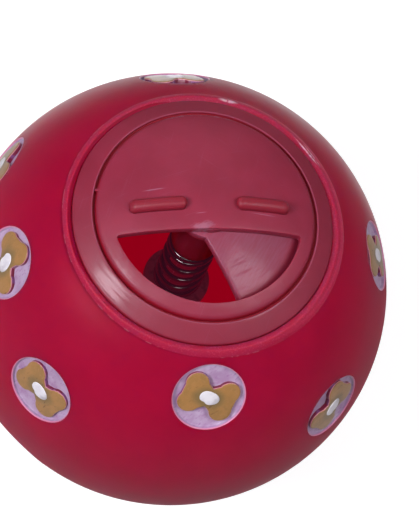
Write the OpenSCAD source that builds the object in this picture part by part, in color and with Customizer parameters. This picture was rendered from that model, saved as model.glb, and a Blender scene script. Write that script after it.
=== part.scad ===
// Treat ball: a hollow vinyl ball with a spring-held dial that opens and closes its treat window.
// The origin is the centre of the ball and +Z runs along the axis of the dial.

/* [Ball] */
// Outer diameter of the ball
ball_d = 75; // [74:0.5:85]
// Thickness of the vinyl wall
wall = 3; // [2.6:0.1:4]
// Diameter of the opening that the collar snaps into
opening_d = 38.4; // [37.6:0.1:39]
// Height of the straight rim round the opening
rim_h = 3; // [2.5:0.1:4]
// Width of the dark groove between the flange and the lip
lip_groove = 0.5; // [0.3:0.1:1]
// Thickness of the rounded lip bead
lip_d = 1.4; // [1:0.1:1.8]

/* [Medallions] */
// Diameter of a medallion recess
medal_d = 12; // [10:0.1:12.4]
// Depth of a medallion recess at its middle
medal_depth = 1.2; // [1:0.1:1.6]
// Thickness of the coloured field on the recess floor
field_t = 0.25; // [0.2:0.05:0.4]
// Gap between the field and the wall of its recess
field_gap = 0.1; // [0.05:0.05:0.3]
// Length of the bone between the centres of its knobs
bone_len = 5.6; // [4:0.1:6]
// Width of the bone between the centres of its knobs
bone_w = 3.4; // [2:0.1:3.8]
// Diameter of a knob of the bone
bone_knob_d = 3.8; // [2.6:0.1:4.2]
// How far the top of the bone lies below the ball's surface
bone_drop = 0.15; // [0.1:0.05:0.3]
// Length of the light spot on the bone
spot_len = 3.4; // [2.6:0.1:4]
// Width of the light spot on the bone
spot_w = 2.4; // [1.4:0.1:2.5]
// Thickness of the light spot
spot_t = 0.12; // [0.08:0.02:0.2]

/* [Collar] */
// Outer diameter of the flange
flange_d = 42.8; // [42:0.1:44]
// Thickness of the flange at its outer edge
flange_edge = 1.5; // [1.2:0.1:2]
// Inner diameter of the flange, in which the dial turns
recess_d = 36.8; // [36:0.1:38]
// Least thickness of the floor below the edge of the dial
floor_t = 0.5; // [0.4:0.1:0.7]
// Wall of the neck below the flange
neck_wall = 1.7; // [1.4:0.1:2.2]
// Gap between the neck and the vinyl opening
neck_gap = 0.1; // [0.05:0.05:0.3]
// How far the snap rib stands out from the neck
rib_out = 1; // [0.6:0.1:1.4]
// Height of the snap rib
rib_h = 2; // [1.6:0.1:2.6]
// Gap between the snap rib and the rim above it
rib_gap = 0.1; // [0.05:0.05:0.3]
// Thickness of the domed shutter plate
plate_t = 1.6; // [1.2:0.1:2]
// Distance of the plate opening's straight edge from the axis
plate_chord = 3.2; // [2.6:0.1:4]
// Diameter of the disc left round the hub in the plate opening
plate_hub_d = 10.2; // [9.4:0.1:11]
// Direction of the plate's opening, as an angle about the axis
plate_turn = -151; // [-175:1:-120]
// Outer diameter of the hub tube
hub_d = 7.9; // [7:0.1:8.6]
// Length of the hub tube below the plate
hub_len = 11.6; // [9:0.1:13]

/* [Dial] */
// Thickness of the dial
dial_t = 1.4; // [1.2:0.1:2.4]
// Gap round the dial, inside the flange
dial_gap = 0.4; // [0.3:0.1:1]
// Gap between the dial and the plate below it
plate_gap = 0.3; // [0.3:0.05:0.6]
// Depth of the flat on the plate that the dial's boss turns on
pad_depth = 0.3; // [0.25:0.05:0.5]
// Diameter of the window's round edge
window_d = 31.2; // [29:0.1:32]
// Distance of the window's straight edge from the axis
window_chord = 4.2; // [3.6:0.1:6]
// Radius of the window's two corners
window_corner = 0.7; // [0.4:0.1:1.2]
// Distance from the axis to the near end of a finger bar
grip_start = 4; // [3:0.1:5]
// Length of a finger bar
grip_len = 9; // [7:0.1:10]
// Width of a finger bar
grip_w = 2.2; // [1.8:0.1:2.6]
// Height of a finger bar above the dial
grip_h = 1.5; // [1.3:0.1:2]
// Diameter of the stem
stem_d = 4.8; // [4.4:0.1:5.2]
// Running clearance of the stem in the hub, on the radius
stem_gap = 0.05; // [0.02:0.01:0.1]

/* [Spring] */
// Mean diameter of the spring
spring_d = 7.5; // [7:0.1:8]
// Diameter of the spring wire
wire_d = 0.9; // [0.7:0.1:1.1]
// Length of the spring between the hub and the washer
spring_len = 17; // [15:0.5:18]
// Turns of the spring
spring_turns = 5; // [4:1:6]
// Gap between the spring and the hub tube
spring_gap = 0.05; // [0.02:0.01:0.1]

/* [Washer and screw] */
// Diameter of the washer below the spring
washer_d = 11.5; // [10:0.1:13]
// Thickness of the washer
washer_t = 1.5; // [1:0.1:2]
// Diameter of the screw
screw_d = 2.8; // [2.4:0.1:3]
// Length of the screw in the stem
screw_grip = 8; // [6:0.5:12]
// Clearance of the screw in its holes, on the radius
screw_gap = 0.05; // [0.03:0.01:0.1]
// Diameter of the screw head
screw_head_d = 5.6; // [5:0.1:7]
// Height of the screw head
screw_head_h = 1.8; // [1.4:0.1:2.4]

/* [Hidden] */
$fn = 96;
// Finer steps, for spheres that cap thin solids
fine_fn = 360;
// Overlap of solids that are joined
eps = 0.01;
// How far a cut runs past a face
past = 1;

vinyl_red = [0.66, 0.03, 0.17];
insert_red = [0.55, 0.2, 0.27];
lilac = [0.78, 0.66, 0.8];
tan = [0.7, 0.53, 0.3];
cream = [0.93, 0.91, 0.92];
steel = [0.35, 0.33, 0.34];

ball_r = ball_d / 2;
cavity_r = ball_r - wall;
opening_r = opening_d / 2;
flange_r = flange_d / 2;
recess_r = recess_d / 2;
neck_r = opening_r - neck_gap;
neck_in_r = neck_r - neck_wall;
lip_seat_r = flange_r + lip_groove;
lip_r = lip_d / 2;
lip_ring_r = lip_seat_r + lip_r;

// Height of a point of a sphere of radius r at the distance d from the axis
function dome_z(r, d) = sqrt(r * r - d * d);

dial_under_r = ball_r - dial_t;
plate_top_r = dial_under_r - plate_gap;
plate_under_r = plate_top_r - plate_t;

// The seat lies below the flange's edge and below the floor that the dial's edge passes over
seat_z = min(dome_z(ball_r, flange_r) - flange_edge, dome_z(plate_top_r, recess_r) - floor_t);
rim_z = seat_z - rim_h;
rib_z = rim_z - rib_gap;
neck_z = rib_z - rib_h;

pad_z = plate_top_r - pad_depth;
pad_r = sqrt(plate_top_r * plate_top_r - pad_z * pad_z);
hub_z = plate_under_r - hub_len;
stem_r = stem_d / 2;
bore_r = stem_r + stem_gap;

dial_mid_r = ball_r - dial_t / 2;
dial_rim_r = recess_r - dial_gap - dial_t / 2;
window_r = window_d / 2;

washer_z = hub_z - spring_len;
head_z = washer_z - washer_t;
screw_r = screw_d / 2;
screw_hole_r = screw_r + screw_gap;

medal_r = medal_d / 2;
medal_floor = ball_r - medal_depth;
field_top = medal_floor + field_t;
bone_top_r = ball_r - bone_drop;

// Angle from +Z to the middle of the lip, and half of the angle that a medallion takes up
lip_angle = asin(lip_ring_r / ball_r);
medal_angle = asin(medal_r / ball_r);
// Medallions of the upper half: azimuth, angle from the lip to the near edge, turn of the bone
upper_medals = [
    [-90, 2.8, 70], [-2, 13.8, 20], [92, 8.8, 100], [186, 10.8, 35],
    [-48, 23.8, 125], [50, 25.8, 60], [150, 23.8, 110], [-138, 21.8, 75]
];
// Azimuth, angle from +Z and turn of every medallion; the lower half mirrors the upper one
upper_places = [for (m = upper_medals) [m[0], lip_angle + m[1] + medal_angle, m[2]]];
lower_places = [for (m = upper_places) [m[0], 180 - m[1], -m[2]]];
medals = concat(upper_places, lower_places);

// Sets its children on the ball, facing out, at an azimuth and an angle from +Z
module on_ball(place) {
    rotate([0, place[1], place[0]]) rotate([0, 0, place[2]]) children();
}

// Flat half of a disc of radius r, beyond a chord on its -Y side
module segment(r, chord) {
    intersection() {
        circle(r);
        translate([-r, -2 * r - chord]) square([2 * r, 2 * r]);
    }
}

// Sharp tip that is cut off a segment's +X corner to round it in short steps
module corner_tip(r, chord, corner) {
    middle = [sqrt(pow(r - corner, 2) - pow(chord + corner, 2)), -chord - corner];
    last = atan2(middle[1], middle[0]);
    steps = 5;
    edge = [for (i = [0 : steps])
        let (a = 90 + (last - 90) * i / steps) middle + corner * [cos(a), sin(a)]];
    above = edge[0] + (edge[0] - edge[1]) / 2;
    beyond = edge[steps] + (edge[steps] - edge[steps - 1]) / 2;
    polygon(concat(
        [above], [for (i = [1 : steps - 1]) edge[i]], [beyond],
        [[r + corner, beyond[1]], [r + corner, above[1]]]
    ));
}

// Segment whose two corners are rounded
module rounded_segment(r, chord, corner) {
    difference() {
        segment(r, chord);
        corner_tip(r, chord, corner);
        mirror([1, 0]) corner_tip(r, chord, corner);
    }
}

// Ring profile between two spheres, out to an angle from the axis
module dome_profile(outer_r, inner_r, angle) {
    intersection() {
        difference() {
            circle(outer_r);
            circle(inner_r);
        }
        polygon([[0, 0], [0, 2 * outer_r], [2 * outer_r * tan(angle), 2 * outer_r]]);
    }
}

module ball_shell() {
    color(vinyl_red) difference() {
        union() {
            difference() {
                sphere(ball_r);
                sphere(cavity_r);
            }
            intersection() {
                sphere(ball_r);
                translate([0, 0, rim_z]) cylinder(r = lip_seat_r + wall / 2, h = rim_h + flange_edge);
            }
            rotate_extrude() translate([lip_ring_r, dome_z(ball_r, lip_ring_r)]) circle(lip_r);
        }
        translate([0, 0, rim_z - wall]) cylinder(r = opening_r, h = 2 * ball_r);
        translate([0, 0, seat_z]) cylinder(r = lip_seat_r, h = ball_r);
        for (m = medals) {
            on_ball(m) translate([0, 0, medal_floor]) cylinder(r = medal_r, h = 2 * medal_depth);
        }
    }
}

// Half section of the flange, neck, snap rib and domed plate, with a flat in the middle of the plate
module collar_profile() {
    difference() {
        union() {
            intersection() {
                circle(ball_r);
                polygon([
                    [neck_in_r, neck_z], [neck_in_r + rib_out, neck_z],
                    [neck_r + rib_out, rib_z - rib_out / 2], [neck_r + rib_out, rib_z],
                    [neck_r, rib_z], [neck_r, seat_z], [flange_r, seat_z],
                    [flange_r, ball_r], [neck_in_r, ball_r]
                ]);
            }
            difference() {
                square([neck_in_r + eps, pad_z]);
                circle(plate_under_r);
            }
        }
        difference() {
            square([recess_r, ball_r + past]);
            circle(plate_top_r);
        }
    }
}

// Cut for the plate's half-round opening, round the disc that is left at the hub
module plate_opening() {
    difference() {
        rotate([0, 0, plate_turn + 90]) linear_extrude(ball_r) segment(window_r, plate_chord);
        cylinder(r = plate_hub_d / 2, h = ball_r);
    }
}

module insert_collar() {
    color(insert_red) difference() {
        union() {
            rotate_extrude() collar_profile();
            translate([0, 0, hub_z]) cylinder(r = hub_d / 2, h = hub_len + plate_t / 2);
        }
        plate_opening();
        translate([0, 0, hub_z - past]) cylinder(r = bore_r, h = ball_r);
    }
}

// Rounded bar that follows the dome of the dial along +X
module finger_bar() {
    bar_r = grip_w / 2;
    side_h = grip_h - bar_r;
    first = asin((grip_start + bar_r) / ball_r);
    last = asin((grip_start + grip_len - bar_r) / ball_r);
    rotate([90, 0, 0]) rotate([0, 0, 90 - last]) rotate_extrude(angle = last - first) {
        translate([ball_r + side_h, 0]) circle(bar_r);
        translate([ball_r - dial_t / 2, -bar_r]) square([side_h + dial_t / 2, grip_w]);
    }
    for (end = [first, last]) {
        rotate([0, end, 0]) translate([0, 0, ball_r - dial_t / 2]) {
            cylinder(r = bar_r, h = side_h + dial_t / 2);
            translate([0, 0, side_h + dial_t / 2]) sphere(bar_r);
        }
    }
}

module dial() {
    rim_angle = asin(dial_rim_r / dial_mid_r);
    color(insert_red) difference() {
        union() {
            difference() {
                rotate_extrude() {
                    dome_profile(ball_r, dial_under_r, rim_angle);
                    translate([dial_rim_r, dome_z(dial_mid_r, dial_rim_r)]) circle(dial_t / 2);
                }
                linear_extrude(ball_r) rounded_segment(window_r, window_chord, window_corner);
            }
            for (side = [0, 180]) {
                rotate([0, 0, side]) finger_bar();
            }
            translate([0, 0, washer_z]) cylinder(r = stem_r, h = ball_r - dial_t / 2 - washer_z);
            translate([0, 0, pad_z]) cylinder(r = pad_r - plate_gap, h = dial_t / 2 + pad_depth);
        }
        translate([0, 0, washer_z - past]) cylinder(r = screw_hole_r, h = screw_grip + 2 * past);
    }
}

// Path of the spring wire: straight ends along the axis, joined by a helix
ring_count = 8;
wire_bottom = washer_z;
wire_top = hub_z - spring_gap;
helix_rise = wire_top - wire_bottom - 4 * wire_d;
helix_steps = spring_turns * ring_count;
function ring_point(step, z) =
    [spring_d / 2 * cos(360 * step / ring_count), spring_d / 2 * sin(360 * step / ring_count), z];
wire_path = concat(
    [ring_point(0, wire_bottom), ring_point(0, wire_bottom + wire_d)],
    [for (i = [0.5 : helix_steps - 0.5])
        ring_point(i, wire_bottom + 2 * wire_d + helix_rise * i / helix_steps)],
    [ring_point(helix_steps, wire_top - wire_d), ring_point(helix_steps, wire_top)]
);

// Least gap of the wire to itself, between points that lie at least half a turn apart
wire_gap = min([for (i = [0 : len(wire_path) - 1], j = [i + ring_count / 2 : len(wire_path) - 1])
    norm(wire_path[j] - wire_path[i])]) - wire_d;
echo(least_gap_of_spring_wire = wire_gap);

function unit(v) = v / norm(v);

// Direction of the wire at a point of its path; the straight ends keep to the axis
function wire_direction(i) =
    let (last = len(wire_path) - 1)
    i == 0 || i == last ? [0, 0, 1] : unit(wire_path[i + 1] - wire_path[i - 1]);

module spring() {
    sides = 6;
    count = len(wire_path);
    points = [for (i = [0 : count - 1])
        let (along = wire_direction(i),
             across = unit(cross(along, [wire_path[i][0], wire_path[i][1], 0])),
             out = cross(across, along))
        for (k = [0 : sides - 1])
            wire_path[i] + wire_d / 2 * (cos(360 * k / sides) * out + sin(360 * k / sides) * across)];
    walls = [for (i = [0 : count - 2], k = [0 : sides - 1])
        let (a = i * sides + k, b = i * sides + (k + 1) % sides)
        each [[a, a + sides, b], [b, a + sides, b + sides]]];
    first_end = [for (k = [1 : sides - 2]) [0, k, k + 1]];
    last_end = [for (k = [1 : sides - 2])
        let (a = (count - 1) * sides) [a, a + k + 1, a + k]];
    color(steel) polyhedron(points, concat(walls, first_end, last_end));
}

module spring_washer() {
    color(steel) translate([0, 0, head_z]) difference() {
        cylinder(r = washer_d / 2, h = washer_t);
        translate([0, 0, -past]) cylinder(r = screw_hole_r, h = washer_t + 2 * past);
    }
}

module stem_screw() {
    dome_r = (pow(screw_head_d / 2, 2) + pow(screw_head_h, 2)) / (2 * screw_head_h);
    color(steel) {
        translate([0, 0, head_z - eps]) cylinder(r = screw_r, h = washer_t + screw_grip);
        intersection() {
            translate([0, 0, head_z - screw_head_h + dome_r]) sphere(dome_r);
            translate([0, 0, head_z - screw_head_h]) cylinder(r = screw_head_d / 2, h = screw_head_h);
        }
    }
}

module medallion_field() {
    color(lilac) for (m = medals) {
        on_ball(m) translate([0, 0, medal_floor]) cylinder(r = medal_r - field_gap, h = field_t);
    }
}

// Flat outline of the bone
module bone_outline() {
    square([bone_len, bone_w], center = true);
    for (x = [-1, 1], y = [-1, 1]) {
        translate([x * bone_len / 2, y * bone_w / 2]) circle(d = bone_knob_d);
    }
}

module medallion_bone() {
    color(tan) for (m = medals) {
        intersection() {
            on_ball(m) translate([0, 0, field_top]) linear_extrude(medal_depth) bone_outline();
            sphere(bone_top_r, $fn = fine_fn);
        }
    }
}

// Flat outline of the light spot, a bar with round ends
module spot_outline() {
    side = (spot_len - spot_w) / 2;
    square([2 * side, spot_w], center = true);
    for (x = [-side, side]) {
        translate([x, 0]) circle(d = spot_w);
    }
}

module medallion_spot() {
    color(cream) for (m = medals) {
        intersection() {
            on_ball(m) translate([0, 0, field_top]) linear_extrude(medal_depth) spot_outline();
            difference() {
                sphere(bone_top_r + spot_t);
                sphere(bone_top_r);
            }
        }
    }
}

ball_shell();
insert_collar();
dial();
spring();
spring_washer();
stem_screw();
medallion_field();
medallion_bone();
medallion_spot();
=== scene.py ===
"""Treat ball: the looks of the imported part.

Sizes are in metres. The origin is the centre of the ball and +Z runs along the axis of the dial.
"""
import bmesh
import bpy
import math
from mathutils import Matrix, Vector


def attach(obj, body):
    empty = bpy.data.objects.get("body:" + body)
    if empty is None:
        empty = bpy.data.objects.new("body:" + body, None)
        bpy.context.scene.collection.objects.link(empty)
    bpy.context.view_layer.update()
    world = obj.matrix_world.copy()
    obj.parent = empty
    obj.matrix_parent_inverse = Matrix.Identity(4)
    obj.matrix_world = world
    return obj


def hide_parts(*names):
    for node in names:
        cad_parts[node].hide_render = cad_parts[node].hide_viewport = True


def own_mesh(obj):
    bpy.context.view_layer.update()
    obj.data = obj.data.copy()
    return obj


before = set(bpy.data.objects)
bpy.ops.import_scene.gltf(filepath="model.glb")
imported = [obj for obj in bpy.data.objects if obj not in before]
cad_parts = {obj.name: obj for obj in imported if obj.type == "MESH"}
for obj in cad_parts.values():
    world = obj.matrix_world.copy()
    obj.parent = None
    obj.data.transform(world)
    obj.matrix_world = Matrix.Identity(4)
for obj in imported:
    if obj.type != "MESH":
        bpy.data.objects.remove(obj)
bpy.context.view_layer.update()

# Sizes of the part, as its solids have them
BALL_R = 0.0375
CAVITY_R = 0.0345
OPENING_R = 0.0192
FLANGE_R = 0.0214
FLANGE_EDGE = 0.0015
RIM_H = 0.003
LIP_RING_R = 0.0226
RECESS_R = 0.0184
NECK_R = 0.0191
NECK_IN_R = 0.0174
RIB_OUT = 0.001
RIB_H = 0.002
RIB_GAP = 0.0001
PLATE_T = 0.0016
PLATE_TOP_R = 0.0358
PLATE_UNDER_R = 0.0342
PLATE_CHORD = 0.0032
PLATE_HUB_R = 0.0051
PLATE_TURN = math.radians(-151)
PAD_Z = 0.0355
HUB_R = 0.00395
HUB_Z = 0.0226
BORE_R = 0.00245
DIAL_T = 0.0014
DIAL_R = 0.018
WINDOW_R = 0.0156
WINDOW_CHORD = 0.0042
GRIP_START = 0.004
GRIP_LEN = 0.009
GRIP_W = 0.0022
STEM_R = 0.0024
WASHER_Z = 0.0056
WASHER_R = 0.00575
WASHER_T = 0.0015
SPRING_TOP = HUB_Z - 0.00005
SPRING_R = 0.00375
WIRE_R = 0.00045
SCREW_R = 0.0014
SCREW_GAP = 0.00005
SCREW_GRIP = 0.008
SCREW_HEAD_R = 0.0028
SCREW_HEAD_H = 0.0018
MEDAL_R = 0.006
MEDAL_FLOOR = 0.0363
BONE_LEN = 0.0056
BONE_W = 0.0034
BONE_KNOB_R = 0.0019
BONE_TOP_R = 0.03735
SPOT_LEN = 0.0034
SPOT_W = 0.0024

# Small forms and roundings that only the scene has
SKIN_R = 0.037488
LEDGE_R = 0.01804
LEDGE_DROP = 0.00065
SET_IN = 0.0004
PLATE_ROUND = 0.0002
DIAL_RIM_ROUND = 0.00062
WINDOW_ROUND = 0.00014
WINDOW_CORNER = 0.0006
GRIP_RISE = 0.0014
GRIP_ROUND = 0.00095
NIB_TURN = math.radians(166.4)
NIB_FOOT_R = 0.0172
NIB_END_R = 0.01815
NIB_HALF_W = 0.00022
NIB_TIP_R = 0.00018
BOSS_GAP = 0.0003
HOLE_SPARE = 0.001
SPRING_LOW = WASHER_Z + 0.00002
END_TURNS = 0.9
MID_TURNS = 4.0
END_PITCH = 2.15
KNOTS_PER_TURN = 40
SCREW_TIP = 0.001
SLOT_SIZE = (0.0028, 0.0006, 0.0018)
MEDAL_DRAFT = 0.00015
MEDAL_EDGE_R = 0.0003
MEDAL_EDGE_RISE = 0.00042
CUTTER_FLARE = 0.0012
CUTTER_FLARE_RISE = 0.0011
CUTTER_H = 0.004
PAINT_GAP = 0.00001
PAINT_WALL = 0.00003
PAINT_FLOOR = 0.00008
PAINT_OUT_R = 0.000305
PAINT_IN_R = 0.000325
BONE_SEAT = 0.00004
BONE_H = 0.001
BONE_ROUND = 0.00018
SPOT_H = 0.00017
SPOT_ROUND = 0.0001
SPOT_SINK = 0.00005

# Cells that a slab is sliced into before it is bent
CELL = 0.001
FINE_CELL = 0.0006

# Points nearer than this are one point, and within this a point lies on an edge
TOUCH = 1e-6
NEAR = 1e-5

# Section of the lip: distance from the axis, rise above the ball
LIP_SHAPE = [
    (0.02340, 0.00000), (0.02331, 0.00002), (0.02324, 0.00009), (0.02315, 0.00019),
    (0.02300, 0.00029), (0.02280, 0.00036), (0.02260, 0.00040), (0.02246, 0.00041),
    (0.02235, 0.00039), (0.02224, 0.00032), (0.02206, 0.00015), (0.02190, -0.00002),
    (0.02174, -0.00017), (0.02160, -0.0003), (0.02151, -0.00042), (0.02146, -0.0006),
]

# How the soft lip sits: its wide side, the side where its inner slope faces away from the light and takes
# painted shade, its far side, and the ring that moves
LIP_WIDE = Vector((0.966, 0.259, 0))
LIP_SHADED_SIDE = Vector((-0.906, 0.423, 0))
LIP_FAR = Vector((-0.259, 0.966, 0))
LIP_SWAY = 0.00043
LIP_IN = 0.00005
LIP_FROM_R = 0.0222
LIP_FROM_W = 0.0009
LIP_TO_R = 0.0248
LIP_TO_W = 0.0013
LIP_LOW_Z = 0.026

# Medallions of the upper half: azimuth, angle from the lip to the near edge, turn of the bone
UPPER_MEDALS = [
    (-90, 2.8, 70), (-2, 13.8, 20), (92, 8.8, 100), (186, 10.8, 35),
    (-48, 23.8, 125), (50, 25.8, 60), (150, 23.8, 110), (-138, 21.8, 75),
]


def dome(radius, reach):
    """Height of a sphere above its middle, at a distance from the axis."""
    return math.sqrt(radius * radius - reach * reach)


def bow(radius, start, end, steps, middle=(0, 0)):
    """Points on a bow of a circle between two angles in degrees, counted from +X."""
    angles = [math.radians(start + (end - start) * i / steps) for i in range(steps + 1)]
    return [(middle[0] + radius * math.cos(a), middle[1] + radius * math.sin(a)) for a in angles]


# Work with one piece at a time


def put_down():
    """Leaves edit mode and deselects everything."""
    if bpy.context.object and bpy.context.object.mode != "OBJECT":
        bpy.ops.object.mode_set(mode="OBJECT")
    bpy.ops.object.select_all(action="DESELECT")


def take(*pieces):
    """Selects these pieces alone; the first one is the active one."""
    put_down()
    for piece in pieces:
        piece.select_set(True)
    bpy.context.view_layer.objects.active = pieces[0]


def edit(piece):
    """Goes into edit mode on one piece, with all of it selected."""
    take(piece)
    bpy.ops.object.mode_set(mode="EDIT")
    bpy.ops.mesh.select_mode(type="VERT")
    bpy.ops.mesh.select_all(action="SELECT")


def pick(piece, kind, test):
    """Selects the vertices, edges or faces of the piece in edit mode that pass a test."""
    bpy.ops.mesh.select_mode(type=kind)
    bpy.ops.mesh.select_all(action="DESELECT")
    mesh = bmesh.from_edit_mesh(piece.data)
    for item in {"VERT": mesh.verts, "EDGE": mesh.edges, "FACE": mesh.faces}[kind]:
        if test(item):
            item.select_set(True)
    bmesh.update_edit_mesh(piece.data)


def merge_points():
    """Selects all of the piece in edit mode and merges its doubled points."""
    bpy.ops.mesh.select_all(action="SELECT")
    bpy.ops.mesh.remove_doubles(threshold=TOUCH)


def close_up():
    """Merges doubled points, turns the faces outwards and leaves edit mode."""
    merge_points()
    bpy.ops.mesh.normals_make_consistent(inside=False)
    put_down()


def thicken(thickness):
    """Raises a filled outline in edit mode along +Z and closes it up."""
    bpy.ops.mesh.extrude_region_move(TRANSFORM_OT_translate={"value": (0, 0, thickness)})
    close_up()


def draw(name, points):
    """Draws a line from point to point by extruding one vertex, and stays in edit mode."""
    put_down()
    bpy.ops.mesh.primitive_plane_add(size=0.001, location=points[0])
    piece = bpy.context.object
    piece.name = name
    bpy.ops.object.transform_apply(location=True, rotation=False, scale=False)
    bpy.ops.object.mode_set(mode="EDIT")
    bpy.ops.mesh.select_mode(type="VERT")
    bpy.ops.mesh.select_all(action="SELECT")
    bpy.ops.mesh.merge(type="CENTER")
    for here, there in zip(points, points[1:]):
        step = Vector(there) - Vector(here)
        bpy.ops.mesh.extrude_region_move(TRANSFORM_OT_translate={"value": step})
    return piece


def soften(piece, point, size, segments=4):
    """Rounds the corner of a drawn line at a point."""
    point = Vector(point)
    pick(piece, "VERT", lambda v: (v.co - point).length < TOUCH)
    bpy.ops.mesh.bevel(offset=size, segments=segments, affect="VERTICES")


def turned(name, outline, corners=(), steps=192, closed=True):
    """Turns a half section, drawn as distance from the axis and height, round the Z axis."""
    points = [(x, 0, z) for x, z in outline]
    piece = draw(name, points + points[:1] if closed else points)
    merge_points()
    for (x, z), size in corners:
        soften(piece, (x, 0, z), size)
    bpy.ops.mesh.select_all(action="SELECT")
    bpy.ops.mesh.spin(steps=steps, angle=2 * math.pi, center=(0, 0, 0), axis=(0, 0, 1))
    close_up()
    return piece


def slab(name, half_outline, thickness):
    """Fills half an outline drawn on the +X side, mirrors it and gives it a thickness along +Z."""
    piece = draw(name, [(x, y, 0) for x, y in half_outline])
    merge_points()
    bpy.ops.mesh.edge_face_add()
    take(piece)
    mirror = piece.modifiers.new("mirror", "MIRROR")
    mirror.merge_threshold = TOUCH
    bpy.ops.object.modifier_apply(modifier="mirror")
    edit(piece)
    thicken(thickness)
    return piece


def pad(name, outline, low, thickness):
    """Fills a closed outline at a height and gives it a thickness along +Z."""
    piece = draw(name, [(x, y, low) for x, y in outline])
    merge_points()
    bpy.ops.mesh.edge_face_add()
    thicken(thickness)
    return piece


def round_edges(piece, test, size, segments):
    """Rounds the level edges of a slab whose two ends pass a test."""
    edit(piece)
    pick(piece, "EDGE", lambda e: abs(e.verts[0].co.z - e.verts[1].co.z) < TOUCH
         and abs(e.calc_face_angle(0)) > 0.5 and all(test(v.co) for v in e.verts))
    bpy.ops.mesh.bevel(offset=size, segments=segments, affect="EDGES", clamp_overlap=False)
    put_down()


def slice_up(piece, step, reach):
    """Slices a slab into small cells, so that it can follow a dome."""
    edit(piece)
    count = int(reach / step)
    for i in range(-count, count + 1):
        for side in ((1, 0, 0), (0, 1, 0)):
            place = Vector(side) * (i + 0.5) * step
            bpy.ops.mesh.select_all(action="SELECT")
            bpy.ops.mesh.bisect(plane_co=place, plane_no=side)
    put_down()


def move_points(piece, place):
    """Moves every point of a piece to the place that a function gives for it."""
    for point in piece.data.vertices:
        point.co = place(point.co)
    piece.data.update()


def drape(piece, thickness, low, high):
    """Bends a slab between two heights, which depend on the distance from the axis."""

    def bent(p):
        bottom, top = low(p.xy.length), high(p.xy.length)
        return Vector((p.x, p.y, bottom + (top - bottom) * p.z / thickness))

    move_points(piece, bent)


def turn_round(piece, angle):
    """Turns a piece about the axis of the dial."""
    edit(piece)
    bpy.ops.transform.rotate(value=-angle, orient_axis="Z", center_override=(0, 0, 0))
    put_down()


def combine(piece, tool, how):
    """Cuts or joins a piece with a tool, which is used up."""
    take(piece)
    change = piece.modifiers.new("combine", "BOOLEAN")
    change.operation = how
    change.solver = "EXACT"
    change.object = tool
    bpy.ops.object.modifier_apply(modifier="combine")
    take(tool)
    bpy.ops.object.delete()


def join(name, pieces):
    """Joins pieces into one object."""
    take(*pieces)
    bpy.ops.object.join()
    pieces[0].name = name
    return pieces[0]


def smooth(piece, angle=35):
    """Shades a piece smooth up to an angle between its faces."""
    take(piece)
    bpy.ops.object.shade_smooth_by_angle(angle=math.radians(angle))
    put_down()


# Camera. The ball's centre lands at 171, 289 in a picture of 420 by 508.
CAMERA_DISTANCE = 0.375
FOCAL_PIXELS = 2149
PICTURE_H = 508
AIM_RIGHT, AIM_UP = 39, 35
SENSOR = 36


def place_camera():
    """Puts the camera where the photograph was taken from, aimed beside the ball's centre."""
    toward = Vector((-0.1848, -0.357, 0.9157)).normalized()
    right = Vector((0.9828, -0.0671, 0.1722))
    up = Vector((0, 0.9317, 0.3632))
    place = toward * CAMERA_DISTANCE
    target = (right * (CAMERA_DISTANCE * AIM_RIGHT / FOCAL_PIXELS)
              + up * (CAMERA_DISTANCE * AIM_UP / FOCAL_PIXELS))
    back = (place - target).normalized()
    right = up.cross(back).normalized()
    up = back.cross(right)
    data = bpy.data.cameras.new("camera")
    data.sensor_width = SENSOR
    data.lens = SENSOR * FOCAL_PIXELS / PICTURE_H
    data.clip_start = 0.01
    camera = bpy.data.objects.new("camera", data)
    turn = Matrix((right, up, back)).transposed().to_4x4()
    camera.matrix_world = Matrix.Translation(place) @ turn
    bpy.context.scene.collection.objects.link(camera)
    bpy.context.scene.camera = camera


place_camera()

# Pieces


def make_ball():
    """Hollow vinyl ball with a lip round its opening; the medallions are cut by make_medallions."""
    seat_z = dome(BALL_R, FLANGE_R) - FLANGE_EDGE
    rim_z = seat_z - RIM_H
    outside = bow(SKIN_R, -90, 51.2, 72)
    lip = [(reach, dome(BALL_R, reach) + rise) for reach, rise in LIP_SHAPE]
    inner_edge = math.degrees(math.asin(rim_z / CAVITY_R))
    inside = bow(CAVITY_R, inner_edge, -90, 48)
    seat_r = lip[-1][0]
    line = outside + lip + [(seat_r, seat_z), (OPENING_R, seat_z), (OPENING_R, rim_z)] + inside
    corners = [((OPENING_R, seat_z), 0.0003), ((OPENING_R, rim_z), 0.0004)]
    ball = turned("ball", line, corners, steps=256, closed=False)
    move_points(ball, pull_lip)
    return ball


def pull_lip(point):
    """Widens the lip on one side and narrows it on the other, as on a soft lip that sits unevenly."""
    reach = point.xy.length
    share = min((reach - LIP_FROM_R) / LIP_FROM_W, (LIP_TO_R - reach) / LIP_TO_W, 1)
    if point.z < LIP_LOW_Z or share <= 0:
        return point
    flat = point.xy * (1 + share * (LIP_SWAY * point.dot(LIP_WIDE) / reach - LIP_IN) / reach)
    return Vector((*flat, math.sqrt(point.length_squared - flat.length_squared)))


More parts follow.
